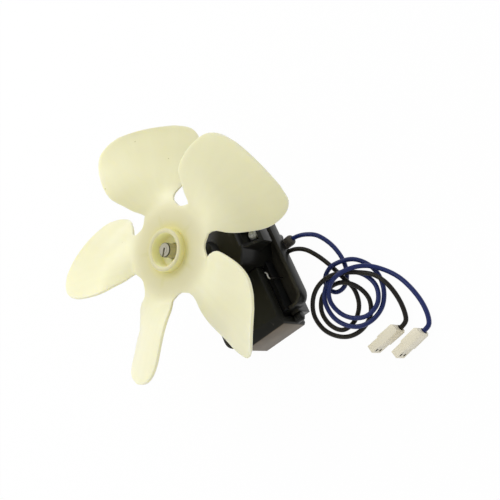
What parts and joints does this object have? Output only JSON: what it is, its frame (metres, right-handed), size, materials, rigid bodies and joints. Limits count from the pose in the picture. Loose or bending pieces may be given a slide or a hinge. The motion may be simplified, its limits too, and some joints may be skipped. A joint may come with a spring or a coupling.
{
  "type": "fan motor",
  "caption": "Small shaded-pole fan motor in black mouldings with a cream five-bladed plastic fan and two coiled leads with white connectors",
  "frame": {"origin": "on the shaft's axis in the plane of the motor's flat back", "axes": "Z runs along the shaft from the motor's back to the fan, X runs from the shaft to the coil, Y points to the side that the leads leave"},
  "size_m": [0.1301, 0.1186, 0.0665],
  "materials": {
    "natural_plastic": "glossy",
    "black_plastic": "satin",
    "zinc_steel": "satin",
    "shaft_steel": "satin",
    "core_steel": "matte",
    "cast_aluminium": "satin",
    "sintered_bronze": "matte",
    "copper": "satin",
    "felt": "matte",
    "bobbin_nylon": "matte",
    "winding_tape": "matte",
    "blue_pvc": "satin",
    "black_pvc": "satin",
    "white_nylon": "satin",
    "tinned_brass": "satin"
  },
  "bodies": {
    "motor": {"rear_housing": "black_plastic", "front_bracket": "black_plastic", "bracket_screw_left": "zinc_steel", "bracket_screw_right": "zinc_steel", "coil_cover": "black_plastic", "cover_clip_left": "zinc_steel", "cover_clip_right": "zinc_steel", "stator_stack": "core_steel", "stack_rivet_1": "zinc_steel", "stack_rivet_2": "zinc_steel", "stack_rivet_3": "zinc_steel", "stack_rivet_4": "zinc_steel", "shading_ring_1": "copper", "shading_ring_2": "copper", "coil_core": "core_steel", "coil_bobbin": "bobbin_nylon", "coil_winding": "winding_tape", "front_bearing": "sintered_bronze", "rear_bearing": "sintered_bronze", "oil_felt": "felt", "bearing_retainer": "zinc_steel", "cord_grommet": "black_plastic", "lead_blue": "blue_pvc", "lead_black": "black_pvc", "connector_blue": "white_nylon", "connector_black": "white_nylon", "terminal_blue": "tinned_brass", "terminal_black": "tinned_brass"},
    "rotor": {"fan_blade": "natural_plastic", "drive_sleeve": "shaft_steel", "rotor_shaft": "shaft_steel", "rotor_core": "core_steel", "rotor_cage": "cast_aluminium", "rear_thrust_washer": "zinc_steel", "front_thrust_washer": "zinc_steel"}
  },
  "joints": [
    {"name": "fan_spin", "type": "hinge", "parent": "motor", "child": "rotor", "pos_m": [0, 0, 0.045], "axis": [0, 0, 1], "continuous": true}
  ]
}
